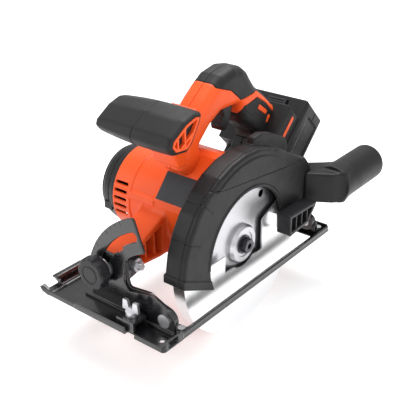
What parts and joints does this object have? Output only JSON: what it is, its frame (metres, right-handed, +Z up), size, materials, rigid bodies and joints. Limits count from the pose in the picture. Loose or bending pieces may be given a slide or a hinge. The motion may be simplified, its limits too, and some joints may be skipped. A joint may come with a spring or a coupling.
{
  "type": "circular saw",
  "caption": "Cordless circular saw with a round blade in a retracting guard, a tilting base plate, a looped main handle with trigger, a forward handle and a slide-on battery.",
  "frame": {"origin": "middle of the front strip of the base plate, on its underside", "axes": "+X is the direction of cut, +Y the blade side, +Z up from the work"},
  "size_m": [0.3335, 0.1915, 0.2473],
  "materials": {
    "base_black": "gloss black paint",
    "steel": "bright zinc-plated steel",
    "guard_silver": "bright satin steel",
    "dark_steel": "dull ground steel",
    "carbide": "ground carbide",
    "guard_black": "matt black",
    "shell_orange": "satin orange",
    "shell_black": "fine-textured black",
    "rubber": "soft black rubber",
    "knob_black": "moulded black",
    "cast": "as cast",
    "copper": "bare copper wire",
    "iron": "laminated iron",
    "fan_grey": "moulded grey",
    "plate_dark": "printed dark plate",
    "cell_blue": "shrink sleeve",
    "spring_steel": "drawn wire"
  },
  "bodies": {
    "base": {"base_plate": "base_black", "bevel_uprights": "base_black", "base_rivets": "steel", "bevel_pins": "steel", "fence_bridge": "base_black"},
    "fence_clamp": {"fence_screw": "steel"},
    "carriage": {"front_bracket": "base_black", "depth_pivot_bolt": "steel", "depth_pivot_nut": "steel", "depth_arm": "base_black", "bevel_lock_bolt": "steel", "bevel_washer": "steel"},
    "bevel_lock": {"bevel_knob": "knob_black"},
    "saw": {"upper_guard": "guard_black", "dust_port": "guard_black", "guard_spring": "spring_steel", "retaining_ring": "dark_steel", "housing_screws": "steel", "motor_can": "dark_steel", "motor_magnets": "iron", "brushes": "iron", "ball_bearings": "steel", "motor_housing": "shell_orange", "motor_end_cap": "shell_black", "brush_caps": "shell_black", "gear_housing": "cast", "gear_plate": "cast", "handle_half_left": "shell_orange", "handle_half_right": "shell_orange", "grip_top": "rubber", "grip_rear": "rubber", "trigger_spring": "spring_steel", "switch_body": "shell_black", "front_handle_core": "shell_orange", "front_handle_pad": "rubber", "rating_plate": "plate_dark", "battery_foot": "shell_black", "terminal_block": "shell_black", "depth_clamp_bolt": "steel"},
    "depth_lock": {"depth_clamp_lever": "knob_black"},
    "lower": {"lower_guard": "guard_silver", "guard_lever": "knob_black"},
    "arbor": {"spindle": "dark_steel", "inner_flange": "steel", "outer_flange": "steel", "blade_bolt": "dark_steel", "blade": "steel", "blade_tips": "carbide", "spindle_gear": "dark_steel"},
    "rotor": {"rotor_shaft": "dark_steel", "armature_core": "iron", "armature_windings": "copper", "commutator": "copper", "cooling_fan": "fan_grey", "pinion": "dark_steel"},
    "switch_trigger": {"trigger": "knob_black"},
    "lock_off": {"lock_off_button": "knob_black"},
    "pack": {"pack_case": "shell_black", "battery_cells": "cell_blue"},
    "latch": {"pack_latch": "knob_black"}
  },
  "joints": [
    {"name": "bevel_tilt", "type": "hinge", "parent": "base", "child": "carriage", "pos_m": [-0.118, 0.06, 0.014], "axis": [-1, 0, 0], "range_deg": [0, 45]},
    {"name": "depth_swing", "type": "hinge", "parent": "carriage", "child": "saw", "pos_m": [-0.019, 0, 0.045], "axis": [0, 1, 0], "range_deg": [-4, 27]},
    {"name": "bevel_knob_turn", "type": "hinge", "parent": "carriage", "child": "bevel_lock", "pos_m": [0.002, -0.01375, 0.03939], "axis": [1, 0, 0], "range_deg": [-360, 360]},
    {"name": "depth_lever_swing", "type": "hinge", "parent": "saw", "child": "depth_lock", "pos_m": [-0.17861, 0.03, 0.03384], "axis": [0, -1, 0], "range_deg": [0, 40]},
    {"name": "fence_screw_turn", "type": "hinge", "parent": "base", "child": "fence_clamp", "pos_m": [0.007, 0.03, 0.01], "axis": [0, 0, 1], "range_deg": [-360, 360]},
    {"name": "lower_guard_swing", "type": "hinge", "parent": "saw", "child": "lower", "pos_m": [-0.118, 0.055, 0.0386], "axis": [0, 1, 0], "range_deg": [0, 105], "stiffness_Nm_per_rad": 0.12, "springref_deg": -68.75, "deforming": ["guard_spring"]},
    {"name": "blade_spin", "type": "hinge", "parent": "saw", "child": "arbor", "pos_m": [-0.118, 0.055, 0.0386], "axis": [0, 1, 0], "continuous": true},
    {"name": "rotor_spin", "type": "hinge", "parent": "saw", "child": "rotor", "pos_m": [-0.111, 0, 0.0688], "axis": [0, 1, 0], "continuous": true},
    {"name": "trigger_squeeze", "type": "hinge", "parent": "saw", "child": "switch_trigger", "pos_m": [-0.143, 0.006, 0.161], "axis": [0, 1, 0], "range_deg": [0, 9], "stiffness_Nm_per_rad": 0.4, "springref_deg": -17.19, "deforming": ["trigger_spring"]},
    {"name": "lock_off_press", "type": "slide", "parent": "saw", "child": "lock_off", "axis": [0, 1, 0], "range_m": [0, 0.002], "stiffness_N_per_m": 300, "springref_m": -0.002},
    {"name": "pack_slide", "type": "slide", "parent": "saw", "child": "pack", "axis": [-0.7071, 0, 0.7071], "range_m": [0, 0.06]},
    {"name": "latch_press", "type": "slide", "parent": "pack", "child": "latch", "axis": [-0.7071, 0, -0.7071], "range_m": [0, 0.0025], "stiffness_N_per_m": 600, "springref_m": -0.002}
  ],
  "couplings": [
    {"joint": "rotor_spin", "follows": "blade_spin", "ratio": -4.1667}
  ]
}
